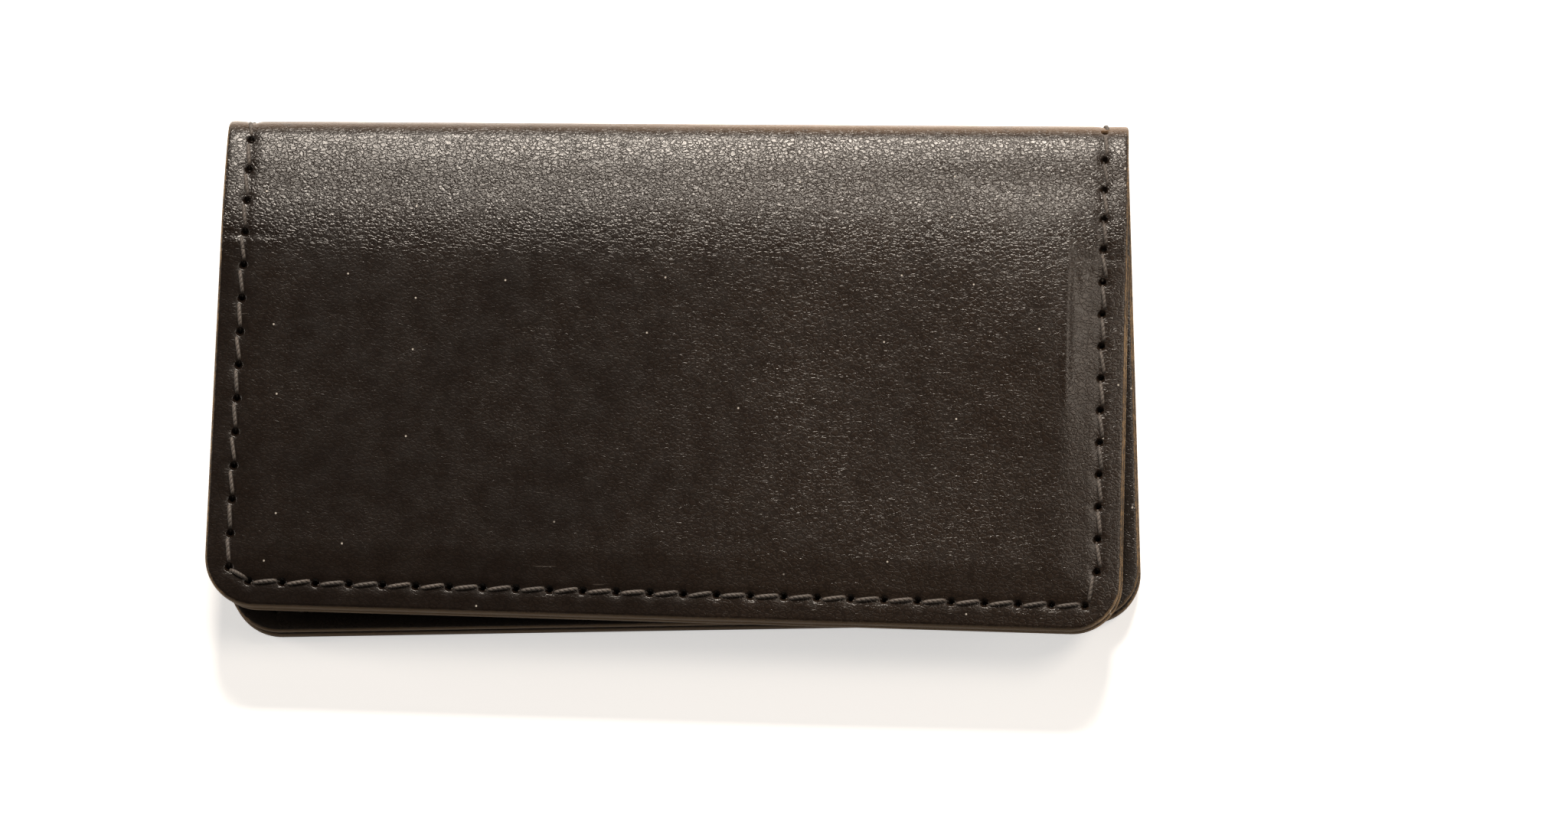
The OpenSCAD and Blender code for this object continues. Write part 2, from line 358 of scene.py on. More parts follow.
def crown(sheet, x, u):
    """How far the front panel stands up inside its stitch line; the back one lies flat. The shoulder
    swells beside the fold, most and nearest to it at the right, and the cards lift the panel near its
    right side."""
    leather, v = sheet.leather, sheet.across(x, u)
    inside = ease(3.1, 8, sheet.inset(x, u))
    to_right = ease(5, 45, x)
    off = (v - sheet.bend_u - 3.0 + 1.2 * to_right) / 3.3
    swell = np.exp(-(off**2)) * (leather.swell + 0.14 * to_right)
    lift = leather.lift * np.exp(-(((v - sheet.bend_u - 25) / 12) ** 2) - ((x - 44) / 9) ** 2) * inside
    on_front = ease(sheet.front_u - 3, sheet.front_u + 9, v)
    return leather.crown * inside * on_front + swell + lift


def near(holes, x, u, width):
    """1 at a hole, falling away over width"""
    found = np.zeros(len(x))
    for hx, hu in holes:
        d2 = ((x - hx) ** 2 + (u - hu) ** 2) / width**2
        found = np.maximum(found, np.exp(-d2))
    return found


def stitch_relief(sheet, stitching, holes, x, u):
    """The groove under the stitches and the dimples round the holes"""
    off = (sheet.inset(x, u) - stitching.inset) / 0.6
    return sheet.leather.groove * np.exp(-off**2) + sheet.leather.dimple * near(holes, x, u, 0.85)


def handling_relief(sheet, x, u):
    """Marks pressed into the cover from inside: the pockets' mouths and the edges of the cards"""
    mouth = sheet.half_l - sheet.pocket_h
    strong = 0.1 + 0.9 * (1 - ease(4.5, 9, sheet.half_w - np.abs(x)))
    off = np.abs(u) - mouth
    line = np.exp(-((off / 0.38) ** 2)) - 0.6 * np.exp(-(((off - 0.9) / 0.5) ** 2))
    depth = sheet.leather.imprint * strong * line
    # Ridges over the cards' edges: x, from u, to u, height
    for at, start, end, height in ((47.0, mouth - 3, mouth + 20, 0.17),
                                   (48.7, mouth + 0.2, mouth + 6.5, 0.14)):
        along = ease(start, start + 2, u) * (1 - ease(end - 6, end, u))
        depth -= height * along * np.exp(-(((x - at) / 0.38) ** 2))
    return depth


def cover_faces(sheet, stitching, holes):
    """The cover's outer and inner face as functions of flat x, u"""

    def layer(x, u):
        return margin_dip(sheet, x, u) - crown(sheet, x, u) + waviness(sheet, x, u)

    def outer(x, u):
        sewn = stitch_relief(sheet, stitching, holes, x, u)
        return layer(x, u) + sewn + handling_relief(sheet, x, u)

    def inner(x, u):
        mouth = sheet.half_l - sheet.pocket_h
        bare = 1 - ease(mouth - 1, mouth, np.abs(u))
        return COVER_T + layer(x, u) - 0.6 * bare * stitch_relief(sheet, stitching, holes, x, u)

    return outer, inner


def pocket_faces(sheet, stitching, holes):
    """A pocket's face against the cover and its face inside the case, as functions of flat x, u"""

    def outer(x, u):
        lift = CARD_GAP * ease(3.9, 6.4, sheet.inset(x, u))
        return COVER_T + 0.02 + lift + margin_dip(sheet, x, u) + waviness(sheet, x, u)

    def inner(x, u):
        return outer(x, u) + POCKET_T - stitch_relief(sheet, stitching, holes, x, u)

    return outer, inner


# ---- a leather piece as a closed mesh ----


def new_piece(name, data):
    """An object with this mesh, light or camera, in the scene"""
    piece = bpy.data.objects.new(name, data)
    bpy.context.scene.collection.objects.link(piece)
    return piece


def read(items, field, width=1, kind=float):
    """One field of all of a mesh's items, as an array"""
    found = np.empty(len(items) * width, kind)
    items.foreach_get(field, found)
    return found.reshape(-1, width) if width > 1 else found


def store(mesh, name, kind, field, values):
    """A named value for each of a mesh's points"""
    made = mesh.attributes.new(name, kind, "POINT")
    made.data.foreach_set(field, values.astype(np.float32).ravel())


def run(points, step):
    """A polyline through the points, resampled at about step, without its last point"""
    parts = []
    for a, b in zip(points[:-1], points[1:]):
        n = max(1, round(math.dist(a, b) / step))
        parts.append(np.array(a) + np.arange(n)[:, None] / n * (np.array(b) - np.array(a)))
    return np.vstack(parts)


def outline(x0, x1, u0, u1, radii, step):
    """A rounded rectangle, anticlockwise from the middle of its left side, and the way inwards at each
    point. Radii run anticlockwise from the low left corner."""
    inward = np.array([(1, 1), (-1, 1), (-1, -1), (1, -1)])
    middles = np.array([(x0, u0), (x1, u0), (x1, u1), (x0, u1)]) + inward * np.array(radii)[:, None]
    points, ways = [], []
    for k, r in enumerate(radii):
        n = max(4, round(r * math.pi / 2 / step))
        turn = math.pi * (1 + k / 2) + np.arange(n) / n * math.pi / 2
        way = -np.stack([np.cos(turn), np.sin(turn)], 1)
        side = np.array([(0, 1), (-1, 0), (0, -1), (1, 0)][k], float)
        after = (k + 1) % 4
        line = run([middles[k] - r * side, middles[after] - radii[after] * side], step)
        points += [middles[k] - r * way, line]
        ways += [way, np.tile(side, (len(line), 1))]
    return np.vstack(points), np.vstack(ways)


def cover_loop(sheet, low, high, step):
    """The outline of the cover between two distances across the fold: points, ways inwards, and for each
    edge to the next point whether it is a rim (True) or a line where the cover is parted (False)"""
    w, h, rim = sheet.half_w, sheet.half_l, sheet.leather.rim
    points, ways = outline(-w, w, -h, h, [sheet.leather.corner_radius] * 4, step)
    slope = sheet.sin / sheet.cos
    straight = np.abs(ways[:, 0]) > 0.999
    ways[straight, 1] = -ways[straight, 0] * slope

    def end(line, side):
        return (side * w, sheet.flat_u(side * w, line)), (-side, side * slope)

    def border(line, side):
        """Points of a parting line from the rim on this side to the other, without either end"""
        near_rim = side * (w - rim)
        xs = np.linspace(near_rim, -near_rim, round(2 * (w - rim) / step) + 1)[1:-1]
        return [((x, sheet.flat_u(x, line)), (0, 0), False) for x in xs]

    def free_end(line, side):
        """From one end of the parting line along its side, round the free edge and back to the line"""
        beyond = np.flatnonzero(side * (sheet.across(*points.T) - line) > step / 2).tolist()
        first = [i for i in beyond if abs(points[i][0] - side * w) < 1e-9]
        first.sort(key=lambda i: side * points[i][1])
        rest = [i for i in beyond if i not in set(first)]
        rims = [(tuple(points[i]), tuple(ways[i]), True) for i in first + rest]
        return [(*end(line, side), True), *rims, (*end(line, -side), False), *border(line, -side)]

    if low < -h:
        loop = free_end(high, -1)
    elif high > h:
        loop = free_end(low, 1)
    else:
        loop = []
        for side, start, stop in ((1, low, high), (-1, high, low)):
            (a, way), (b, _) = end(start, side), end(stop, side)
            loop += [(tuple(p), way, True) for p in run([a, b], step)]
            loop += [(b, way, False), *border(stop, side)]
    where, way, is_rim = zip(*loop)
    return np.array(where), np.array(way, float), np.array(is_rim)


def hexagons(x0, x1, u0, u1, pitch):
    """Points at pitch in rows set half a step over"""
    rise = pitch * math.sqrt(3) / 2
    us = np.arange(u0, u1, rise)
    xs = np.arange(x0, x1, pitch)
    grid_x, grid_u = np.meshgrid(xs, us)
    grid_x = grid_x + (np.arange(len(us)) % 2)[:, None] * pitch / 2
    return grid_x.ravel(), grid_u.ravel()


def rim_profile(count):
    """The rounded edge from the outer face to the inner one: how far in as a share of the rim, and the
    share of the thickness"""
    t = np.linspace(0, math.pi, count)
    c = np.cos(t)
    return 1 - np.sin(t) ** 0.75, (1 - np.sign(c) * np.abs(c) ** 0.55) / 2


# A hole's rows of points: their share of the thickness, and their width. The leather closes on the thread
# halfway down.
HOLE_SHARES = (0, 0.03, 0.12, 0.35, 0.65, 0.88, 0.97, 1)
HOLE_WIDTHS = (1.36, 1.1, 1.0, 0.38, 0.38, 1.0, 1.1, 1.36)
HOLE_SIDES = 12
RIM_ROWS = 9


def triangles(flat, n, first):
    """Triangles between the loop of the first n points, the hole rings that start at first, and the rest"""
    edges = [(a + k, a + (k + 1) % HOLE_SIDES) for a in first.tolist() for k in range(HOLE_SIDES)]
    result = delaunay_2d_cdt([Vector(p) for p in flat.tolist()], edges, [list(range(n))], 1, 1e-7)
    source = [ids[0] for ids in result[3]]
    tris = np.array([[source[v] for v in f] for f in result[2]])
    ring_of = np.full(len(flat), -1)
    for k, a in enumerate(first):
        ring_of[a:a + HOLE_SIDES] = k
    in_hole = (ring_of[tris] == ring_of[tris[:, :1]]).all(1) & (ring_of[tris[:, 0]] >= 0)
    tris = tris[~in_hole]
    a, b, c = (flat[tris[:, k]] for k in range(3))
    area = (b[:, 0] - a[:, 0]) * (c[:, 1] - a[:, 1]) - (b[:, 1] - a[:, 1]) * (c[:, 0] - a[:, 0])
    return np.where(area[:, None] < 0, tris[:, ::-1], tris)


def leather_piece(name, sheet, loop, faces, holes, hole_r, spots, finish):
    """A closed piece of leather over the flat loop, with a rounded rim and real stitch holes"""
    where, way, is_rim = loop
    n = len(where)
    turn = np.arange(HOLE_SIDES) / HOLE_SIDES * 2 * math.pi
    ring_way = np.stack([np.cos(turn), np.sin(turn)], 1)
    rings = [hole + ring_way * hole_r * HOLE_WIDTHS[0] for hole in holes]
    flat = np.vstack([where + way * sheet.leather.rim, *rings, spots])
    first = n + HOLE_SIDES * np.arange(len(rings))
    tris = triangles(flat, n, first)
    total = len(flat)
    top, low = (face(*flat.T) for face in faces)
    points, depths, wear = [flat, flat], [top, low], [np.zeros(2 * total)]

    def wall(base, ways, at, widths, shares, worn):
        """Rows of points between the two faces, and the index of each point in every row"""
        rows = [at]
        for width, share, here in list(zip(widths, shares, worn))[1:-1]:
            rows.append(sum(map(len, depths)) + np.arange(len(at)))
            points.append(base + ways * width)
            depths.append(top[at] + (low[at] - top[at]) * share)
            wear.append(np.full(len(at), here))
        return [*rows, at + total]

    offsets, shares = rim_profile(RIM_ROWS)
    rubbed = np.sin(np.linspace(0, math.pi, RIM_ROWS)) ** 0.5
    at = np.flatnonzero(np.abs(way).sum(1) > 0)
    rows = wall(where[at], way[at], at, offsets * sheet.leather.rim, shares, rubbed)
    slot = np.full(n, -1)
    slot[at] = np.arange(len(at))
    quads, caps = [], []
    for i in range(n):
        j = (i + 1) % n
        p, q = slot[i], slot[j]
        if is_rim[i]:
            quads += [(r[p], s[p], s[q], r[q]) for r, s in zip(rows[:-1], rows[1:])]
        else:
            caps.append((i, i + total, j + total, j))
        if p >= 0 and is_rim[i] and not is_rim[i - 1]:
            caps.append([rows[0][p]] + [r[p] for r in rows[:0:-1]])
        if p >= 0 and not is_rim[i] and is_rim[i - 1]:
            caps.append([rows[-1][p]] + [r[p] for r in rows[:-1]])
    for hole, a in zip(holes, first):
        at = a + np.arange(HOLE_SIDES)
        rows = wall(hole, ring_way, at, np.array(HOLE_WIDTHS) * hole_r, HOLE_SHARES, [0] * len(HOLE_SHARES))
        for r, s in zip(rows[:-1], rows[1:]):
            quads += list(zip(r, np.roll(r, -1), np.roll(s, -1), s))
    surface = tris.tolist() + (tris[:, ::-1] + total).tolist() + quads
    # Folding turns the flat sheet's right hand into its left, so every face is turned round
    every = [[int(v) for v in f][::-1] for f in surface + caps]
    flat_all, depth_all = np.vstack(points), np.concatenate(depths)
    mesh = bpy.data.meshes.new(name)
    mesh.from_pydata(sheet.folded(*flat_all.T, depth_all).tolist(), [], every)
    mesh.polygons.foreach_set("use_smooth", [True] * len(surface) + [False] * len(caps))
    store(mesh, "leather_spot", "FLOAT_VECTOR", "vector", np.column_stack([flat_all, depth_all]))
    store(mesh, "edge_wear", "FLOAT", "value", np.concatenate(wear))
    mesh.materials.append(finish)
    mesh.update()
    return new_piece(name, mesh)


def clear_spots(sheet, inside, holes, hole_r, lines):
    """Points to fill a piece with: fine near its edges, coarse in the middle, clear of edges and holes"""
    leather = sheet.leather
    in_fold = lines[0] > -sheet.REACH and lines[1] < sheet.REACH
    fine = leather.fine * (0.85 if in_fold else 1)
    v0, v1 = max(lines[0], -sheet.half_l - 5), min(lines[1], sheet.half_l + 5)
    limit = leather.band + (40 if in_fold and v1 - v0 < 12 else 0)
    found = []
    for pitch in (fine, leather.coarse):
        x, u = hexagons(-sheet.half_w, sheet.half_w, v0 - 3, v1 + 3, pitch)
        v = sheet.across(x, u)
        edge = inside(x, u)
        gap = 0.62 * pitch
        keep = (edge > leather.rim + gap) & (v > lines[0] + gap) & (v < lines[1] - gap)
        keep &= edge < limit if pitch == fine else edge > limit + gap
        x, u = x[keep], u[keep]
        clear = np.ones(len(x), bool)
        for hx, hu in holes:
            clear &= np.hypot(x - hx, u - hu) > hole_r * HOLE_WIDTHS[0] + 0.55 * fine
        found.append(np.column_stack([x[clear], u[clear]]))
    return np.vstack(found)


def shade_together(pieces):
    """Shades the parts of one sheet as one surface, so that the lines between them don't show"""
    parts = []
    for mesh in [piece.data for piece in pieces]:
        sides = read(mesh.polygons, "loop_total", kind=int)
        parts.append(SimpleNamespace(
            mesh=mesh, points=read(mesh.vertices, "co", 3),
            corner=read(mesh.loops, "vertex_index", kind=int),
            smooth=np.repeat(read(mesh.polygons, "use_smooth", kind=bool), sides),
            normal=np.repeat(read(mesh.polygons, "normal", 3), sides, 0),
            area=np.repeat(read(mesh.polygons, "area"), sides)))
    everywhere = np.round(np.vstack([part.points for part in parts]) / 1e-7).astype(np.int64)
    same = np.unique(everywhere, axis=0, return_inverse=True)[1].ravel()
    total = np.zeros((same.max() + 1, 3))
    start = 0
    for part in parts:
        part.key = same[start + part.corner]
        np.add.at(total, part.key[part.smooth], part.normal[part.smooth] * part.area[part.smooth, None])
        start += len(part.points)
    total /= np.maximum(np.linalg.norm(total, axis=1, keepdims=True), 1e-12)
    for part in parts:
        wanted = np.where(part.smooth[:, None], total[part.key], part.normal)
        part.mesh.normals_split_custom_set(wanted.tolist())


# ---- finishes ----


class Nodes:
    """A node tree and short ways to add to it"""

    def __init__(self, tree):
        self.tree = tree

    def add(self, kind, inputs=(), **fields):
        """A node with its fields set, its inputs filled or linked"""
        node = self.tree.nodes.new(kind)
        for key, value in fields.items():
            setattr(node, key, value)
        for key, value in dict(inputs).items():
            if isinstance(value, bpy.types.NodeSocket):
                self.tree.links.new(value, node.inputs[key])
            else:
                node.inputs[key].default_value = value
        return node

    def calc(self, operation, a, b=0.0, c=0.0, clamp=False):
        node = self.add("ShaderNodeMath", {0: a, 1: b, 2: c}, operation=operation, use_clamp=clamp)
        return node.outputs[0]

    def plus(self, a, b, clamp=False):
        return self.calc("ADD", a, b, clamp=clamp)

    def minus(self, a, b):
        return self.calc("SUBTRACT", a, b)

    def times(self, a, b):
        return self.calc("MULTIPLY", a, b)

    def size(self, a):
        return self.calc("ABSOLUTE", a)

    def spread(self, value, low, high, to_low=0.0, to_high=1.0, kind="SMOOTHSTEP"):
        """Maps value from low..high to the other range"""
        return self.add("ShaderNodeMapRange", {0: value, 1: low, 2: high, 3: to_low, 4: to_high},
                        interpolation_type=kind).outputs[0]

    def blend(self, share, a, b):
        """Colour a with this share of colour b"""
        a, b = (c if isinstance(c, bpy.types.NodeSocket) else (*c, 1.0) for c in (a, b))
        return self.add("ShaderNodeMix", {0: share, 6: a, 7: b}, data_type="RGBA").outputs[2]

    def noise(self, where, scale, detail=3.0, rough=0.5, warp=0.0):
        return self.add("ShaderNodeTexNoise", {"Vector": where, "Scale": scale, "Detail": detail,
                                               "Roughness": rough, "Distortion": warp}).outputs[0]

    def cells(self, where, scale, feature, **fields):
        return self.add("ShaderNodeTexVoronoi", {"Vector": where, "Scale": scale}, feature=feature,
                        **fields).outputs

    def stretch(self, where, scale, turn=0.0):
        """The place scaled along each axis, after a turn about the last"""
        return self.add("ShaderNodeMapping",
                        {"Vector": where, "Rotation": (0, 0, turn), "Scale": scale}).outputs[0]

    def vector(self, x, y, z):
        return self.add("ShaderNodeCombineXYZ", {0: x, 1: y, 2: z}).outputs[0]

    def parts(self, vector):
        return self.add("ShaderNodeSeparateXYZ", {0: vector}).outputs

    def surface(self, inputs):
        """The material's surface"""
        skin = self.add("ShaderNodeBsdfPrincipled", inputs)
        self.add("ShaderNodeOutputMaterial", {0: skin.outputs[0]})


def new_finish(name):
    """A material with an empty tree"""
    material = bpy.data.materials.new(name)
    material.use_nodes = True
    material.node_tree.nodes.clear()
    return material, Nodes(material.node_tree)


def leather_finish(name, finish, base, grain, gradient):
    """Dyed full-grain leather: pebbled grain, uneven dye, a worn fold with a painted reflection along it,
    painted shade in the grain's valleys, burnished edges with a painted highlight towards the side ends,
    scratches, dust
    """
    material, n = new_finish(name)
    spot = n.add("ShaderNodeAttribute", attribute_name="leather_spot").outputs["Vector"]
    x, u, depth = n.parts(spot)
    across = n.calc("MULTIPLY_ADD", x, math.tan(settings("leather").skew), u)
    worn = n.add("ShaderNodeAttribute", attribute_name="edge_wear").outputs["Fac"]

    # Pebbles, drawn out of shape and of uneven strength
    warp = n.add("ShaderNodeTexNoise", {"Vector": spot, "Scale": 1.3, "Detail": 2.0}).outputs["Color"]
    warp = n.add("ShaderNodeVectorMath", {0: warp, "Scale": 0.9}, operation="SCALE").outputs[0]
    moved = n.add("ShaderNodeVectorMath", {0: spot, 1: warp}, operation="ADD").outputs[0]
    moved = n.stretch(moved, (1.45, 2.3, 1.8))
    cells = n.spread(n.cells(moved, 1.0, "DISTANCE_TO_EDGE")[0], 0.0, 0.24)
    small = n.cells(moved, 2.3, "F1")[0]
    pores = n.noise(spot, 9.0, 4.0, 0.62)
    patches = n.noise(spot, 0.09, 3.0, 0.55)
    right = n.spread(x, -18.0, 22.0)
    near_fold = n.spread(n.size(n.minus(across, 10.5)), 3.0, 11.0, 1.0, 0.0)
    strength = n.plus(n.spread(patches, 0.3, 0.7, 0.2, 0.3), n.times(right, 0.15))
    strength = n.plus(strength, n.times(near_fold, 0.66))
    pebble = n.plus(n.times(cells, 0.42), n.times(small, -0.12))
    height = n.plus(n.times(pebble, strength), n.times(pores, 0.10))

    # Scratches, short and faint, in two directions
    lines = []
    for turn, cut in ((0.25, 0.765), (-0.3, 0.775)):
        long = n.stretch(spot, (0.13, 1.6, 1.0), turn)
        lines.append(n.spread(n.noise(long, 1.0, 2.0, 0.5, 0.25), cut, cut + 0.02))
    scratch = n.calc("MAXIMUM", *lines)
    height = n.minus(height, n.times(scratch, 0.06))

    # Colour: uneven dye in patches, lighter towards the right
    shade = n.plus(n.spread(patches, 0.25, 0.75, 0.0, 0.22), n.times(right, gradient))
    shade = n.plus(shade, n.times(n.minus(pores, 0.5), 0.5), clamp=True)
    dye = n.blend(shade, base, finish.light)
    # Painted shade: the grain's valleys are darkened in the colour
    valley_shade = n.spread(cells, 0.1, 0.7, 1.0, 0.0)
    dye = n.blend(n.times(valley_shade, 0.45), dye, [c * 0.45 for c in base])
    # Worn dye along the fold, and a painted reflection there too, brighter towards the right
    fold_wear_and_sheen = n.spread(n.size(n.minus(across, 0.8)), 0.6, 3.4, 1.0, 0.0)
    fold_wear_and_sheen = n.times(fold_wear_and_sheen, n.spread(n.noise(spot, 0.5, 4.0, 0.65), 0.1, 0.5))
    fold_wear_and_sheen = n.times(fold_wear_and_sheen, n.spread(depth, 0.2, 0.6, 1.0, 0.0))
    fold_wear_and_sheen = n.times(fold_wear_and_sheen, n.calc("MULTIPLY_ADD", right, 0.2, 0.26))
    dye = n.blend(fold_wear_and_sheen, dye, finish.worn)
    dye = n.blend(n.times(scratch, 0.45), dye, (0.05, 0.042, 0.036))

    # Edges: burnished brown, paler where the dye ran out, and made paler towards the side ends by a painted
    # highlight
    fibre = n.noise(n.stretch(spot, (0.7, 0.7, 3.5)), 2.0, 4.0, 0.7)
    bare = n.plus(fibre, n.times(patches, 0.5))
    # Painted highlight: the edges grow paler towards the side ends
    bare = n.plus(bare, n.spread(n.size(x), 49.0, 53.0, 0.0, 0.24))
    rim = n.blend(n.spread(bare, 0.88, 1.16), finish.edge, finish.raw)
    on_rim = n.spread(n.plus(worn, n.times(n.minus(fibre, 0.5), 0.35)), 0.55, 0.9)
    dye = n.blend(on_rim, dye, rim)

    # Dust specks
    flecks = n.cells(spot, 0.11, "F1", voronoi_dimensions="2D")
    chosen = n.add("ShaderNodeSeparateColor", {0: flecks["Color"]}).outputs[0]
    fleck = n.times(n.spread(flecks[0], 0.008, 0.015, 1.0, 0.0, "LINEAR"), n.spread(chosen, 0.55, 0.6))
    dye = n.blend(n.times(fleck, 0.8), dye, (0.45, 0.42, 0.38))

    gloss = n.spread(n.noise(spot, 0.35, 5.0, 0.6), 0.3, 0.7, 0.26, 0.33)
    gloss = n.plus(gloss, n.times(on_rim, 0.58))
    bump = n.add("ShaderNodeBump", {"Height": height, "Strength": 1.0, "Distance": grain * MM})
    n.surface({"Base Color": dye, "Roughness": gloss, "Normal": bump.outputs[0], "IOR": 1.42,
               "Specular IOR Level": 0.42})
    return material


def thread_finish(finish):
    """Waxed thread: two strands twisted together"""
    material, n = new_finish("waxed_thread")
    at = n.add("ShaderNodeAttribute", attribute_name="thread_spot").outputs["Vector"]
    turn, along, _ = n.parts(at)
    twist = n.plus(n.times(along, 7.0), n.times(turn, 2.0))
    strand = n.size(n.calc("SINE", n.times(twist, math.pi)))
    place = n.add("ShaderNodeTexCoord").outputs["Object"]
    fuzz = n.noise(place, 2600.0, 4.0, 0.65)
    # Painted shade: the grooves between the two strands are darkened in the colour
    tone = n.times(n.spread(strand, 0.0, 0.7, 0.35, 1.0), n.spread(fuzz, 0.2, 0.8, 0.65, 1.2))
    tone = n.times(tone, n.spread(n.noise(place, 160.0, 2.0), 0.3, 0.7, 0.6, 1.25))
    dye = n.blend(tone, (0.012, 0.010, 0.009), finish.thread)
    height = n.plus(strand, n.times(fuzz, 0.4))
    bump = n.add("ShaderNodeBump", {"Height": height, "Strength": 0.8, "Distance": 0.06 * MM})
    n.surface({"Base Color": dye, "Normal": bump.outputs[0], "Roughness": 0.62})
    return material


def floor_finish(finish):
    """A pale, matt floor, nearly even"""
    material, n = new_finish("pale_floor")
    place = n.add("ShaderNodeTexCoord").outputs["Object"]
    tone = n.spread(n.noise(place, 9.0, 3.0), 0.3, 0.7, 0.0, 0.03)
    dye = n.blend(tone, finish.floor, [c * 0.9 for c in finish.floor])
    n.surface({"Base Color": dye, "Roughness": 0.9, "Specular IOR Level": 0.1, "Emission Strength": 0.55,
               "Emission Color": (*finish.floor, 1.0)})
    return material


def named_leather(name):
    """The cover's or the pockets' leather, made the first time it is asked for"""
    finish = settings("finish")
    base, grain, gradient = {"dyed_cover": (finish.dark, 0.085, 0.42),
                             "dyed_pocket": (finish.lining, 0.10, 0.1)}[name]
    return bpy.data.materials.get(name) or leather_finish(name, finish, base, grain, gradient)


# ---- stitches ----


# The stitch tree's inputs and the settings that fill them
STITCH_INPUTS = {"Thread width": "thread_d", "Rise": "rise", "Dive": "dive", "Slant": "slant",
                 "Unevenness": "uneven", "Seed": "seed"}


def stitch_tree(stitching, finish):
    """Geometry nodes: one bowed stitch for each point, laid along the point's stitch_along"""
    tree = bpy.data.node_groups.new("hand_stitches", "GeometryNodeTree")
    n = Nodes(tree)
    tree.interface.new_socket("Geometry", in_out="INPUT", socket_type="NodeSocketGeometry")
    for name, field in STITCH_INPUTS.items():
        value = getattr(stitching, field)
        kind = "NodeSocketInt" if isinstance(value, int) else "NodeSocketFloat"
        tree.interface.new_socket(name, in_out="INPUT", socket_type=kind).default_value = value
    tree.interface.new_socket("Geometry", in_out="OUTPUT", socket_type="NodeSocketGeometry")
    given = n.add("NodeGroupInput").outputs

    # One stitch of unit length and width, lying along X: flat on top, its ends turned down
    tube = n.add("GeometryNodeMeshCylinder",
                 {"Vertices": 8, "Side Segments": 12, "Radius": 0.5, "Depth": 1.0})
    x, y, z = n.parts(n.add("GeometryNodeInputPosition").outputs[0])
    end = n.times(n.size(z), 2.0)
    down = n.times(n.calc("POWER", end, 4.0), given["Dive"])
    lift = n.minus(given["Rise"], down)
    slim = n.minus(1.0, n.times(n.calc("POWER", end, 3.0), 0.25))
    bowed = n.vector(z, n.times(x, slim), n.calc("MULTIPLY_ADD", n.times(y, 0.86), slim, lift))
    spot = n.vector(n.calc("DIVIDE", n.calc("ARCTAN2", y, x), 2 * math.pi), z, 0.0)
    marked = n.add("GeometryNodeStoreNamedAttribute",
                   {"Geometry": tube.outputs["Mesh"], "Name": "thread_spot", "Value": spot},
                   data_type="FLOAT_VECTOR")
    stitch = n.add("GeometryNodeSetPosition", {"Geometry": marked.outputs[0], "Position": bowed})

    # Its place, turn and size
    along = n.add("GeometryNodeInputNamedAttribute", {"Name": "stitch_along"},
                  data_type="FLOAT_VECTOR").outputs[0]
    size = n.add("ShaderNodeVectorMath", {0: along}, operation="LENGTH").outputs["Value"]
    turn = n.add("FunctionNodeAlignRotationToVector", {"Vector": along}, axis="X", pivot_axis="Z")
    loose = n.add("FunctionNodeRandomValue", {"Seed": given["Seed"], 2: -1.0, 3: 1.0},
                  data_type="FLOAT").outputs[1]
    lean = n.calc("MULTIPLY_ADD", loose, given["Unevenness"], given["Slant"])
    leaned = n.add("FunctionNodeRotateRotation", {0: turn.outputs[0], 1: n.vector(0.0, 0.0, lean)},
                   rotation_space="LOCAL")
    girth = n.times(given["Thread width"], n.calc("MULTIPLY_ADD", loose, given["Unevenness"], 1.0))
    scale = n.vector(size, girth, girth)
    laid = n.add("GeometryNodeInstanceOnPoints", {
        "Points": given["Geometry"], "Instance": stitch.outputs[0], "Rotation": leaned.outputs[0],
        "Scale": scale})
    real = n.add("GeometryNodeRealizeInstances", {0: laid.outputs[0]})
    dressed = n.add("GeometryNodeSetMaterial", {"Geometry": real.outputs[0], "Material": finish})
    n.add("NodeGroupOutput", {0: dressed.outputs[0]})
    return tree


def flat_stitches(stitching, holes, finish):
    """All the stitches of one face, lying on the flat sheet, as a plain mesh"""
    after = np.roll(holes, -1, 0)
    middle = (holes + after) / 2
    on_side = np.abs(holes[:, 0] - after[:, 0]) < 0.01
    middle[on_side, 0] += np.sign(middle[on_side, 0]) * stitching.side_bow
    level = np.zeros(len(middle))
    mesh = bpy.data.meshes.new("stitch_points")
    mesh.from_pydata(np.column_stack([middle, level]).tolist(), [], [])
    store(mesh, "stitch_along", "FLOAT_VECTOR", "vector", np.column_stack([after - holes, level]))
    host = new_piece("stitch_points", mesh)
    tree = stitch_tree(stitching, finish)
    modifier = host.modifiers.new("stitches", "NODES")
    modifier.node_group = tree
    for item in tree.interface.items_tree:
        if item.in_out == "INPUT" and item.name in STITCH_INPUTS:
            modifier[item.identifier] = getattr(stitching, STITCH_INPUTS[item.name])
    graph = bpy.context.evaluated_depsgraph_get()
    made = bpy.data.meshes.new_from_object(host.evaluated_get(graph), preserve_all_data_layers=True,
                                           depsgraph=graph)
    host.modifiers.remove(modifier)
    bpy.data.objects.remove(host)
    return made


